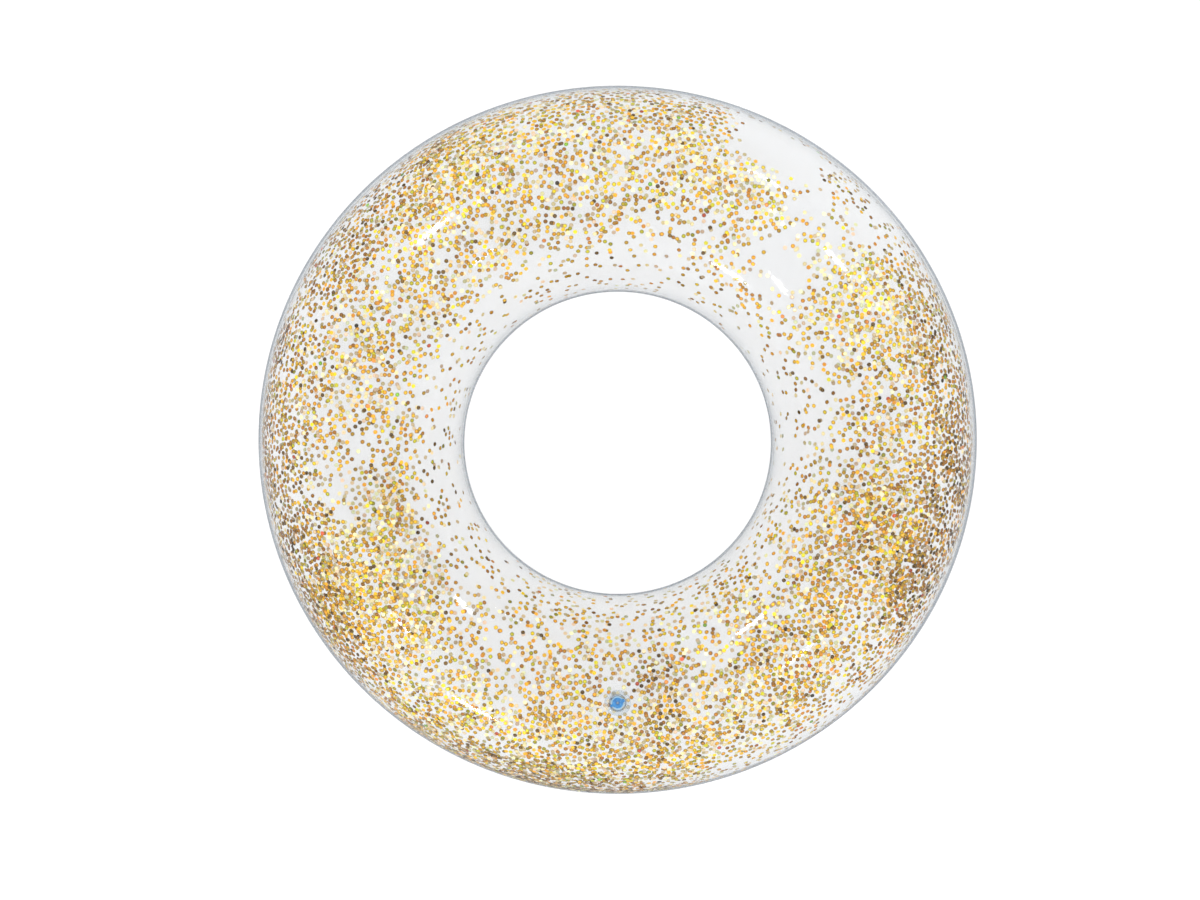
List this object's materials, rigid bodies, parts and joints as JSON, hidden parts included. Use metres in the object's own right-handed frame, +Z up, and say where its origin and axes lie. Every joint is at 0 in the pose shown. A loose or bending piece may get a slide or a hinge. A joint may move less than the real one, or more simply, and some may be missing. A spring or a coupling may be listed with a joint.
{
  "type": "inflatable swim ring",
  "caption": "Clear inflatable swim ring with loose gold sequins inside its air chamber and a push-in valve with a tethered blue stopper.",
  "frame": {"origin": "on the floor, below the centre of the hole", "axes": "+Z up along the ring's axis, the ring lies flat; the valve is on the -Y side of the upper sheet, on the line X = 0"},
  "size_m": [1.05, 1.05, 0.2944],
  "materials": {
    "clear_sheet": "clear, glossy soft PVC",
    "clear_valve": "clear, faintly blue soft PVC",
    "blue_stopper": "translucent blue soft PVC",
    "sequin_gold": "gold metallised film, glossy",
    "sequin_amber": "amber metallised film, glossy",
    "sequin_copper": "copper metallised film, glossy",
    "sequin_bronze": "bronze metallised film, glossy",
    "sequin_lemon": "lemon metallised film, glossy",
    "sequin_lime": "lime metallised film, glossy"
  },
  "bodies": {
    "ring": {"upper_sheet": "clear_sheet", "lower_sheet": "clear_sheet", "valve_flange": "clear_valve", "valve_boot": "clear_valve", "sequins_gold": "sequin_gold", "sequins_amber": "sequin_amber", "sequins_copper": "sequin_copper", "sequins_bronze": "sequin_bronze", "sequins_lemon": "sequin_lemon", "sequins_lime": "sequin_lime"},
    "valve_stem": {"valve_stem": "clear_valve", "strap_ring": "blue_stopper"},
    "stopper": {"stopper": "blue_stopper"},
    "check_flap": {"check_flap": "clear_valve"}
  },
  "joints": [
    {"name": "valve_pop", "type": "slide", "parent": "ring", "child": "valve_stem", "axis": [0, 0.1219, 0.9925], "range_m": [0, 0.022], "deforming": ["valve_boot"]},
    {"name": "stopper_swing", "type": "hinge", "parent": "valve_stem", "child": "stopper", "pos_m": [-0.00972, -0.36064, 0.29254], "axis": [0.4226, -0.8996, 0.1105], "range_deg": [0, 140]},
    {"name": "flap_swing", "type": "hinge", "parent": "valve_stem", "child": "check_flap", "pos_m": [0.00662, -0.35575, 0.2698], "axis": [0.4226, -0.8996, 0.1105], "range_deg": [0, 60], "stiffness_Nm_per_rad": 0.0001, "springref_deg": -17.19}
  ]
}
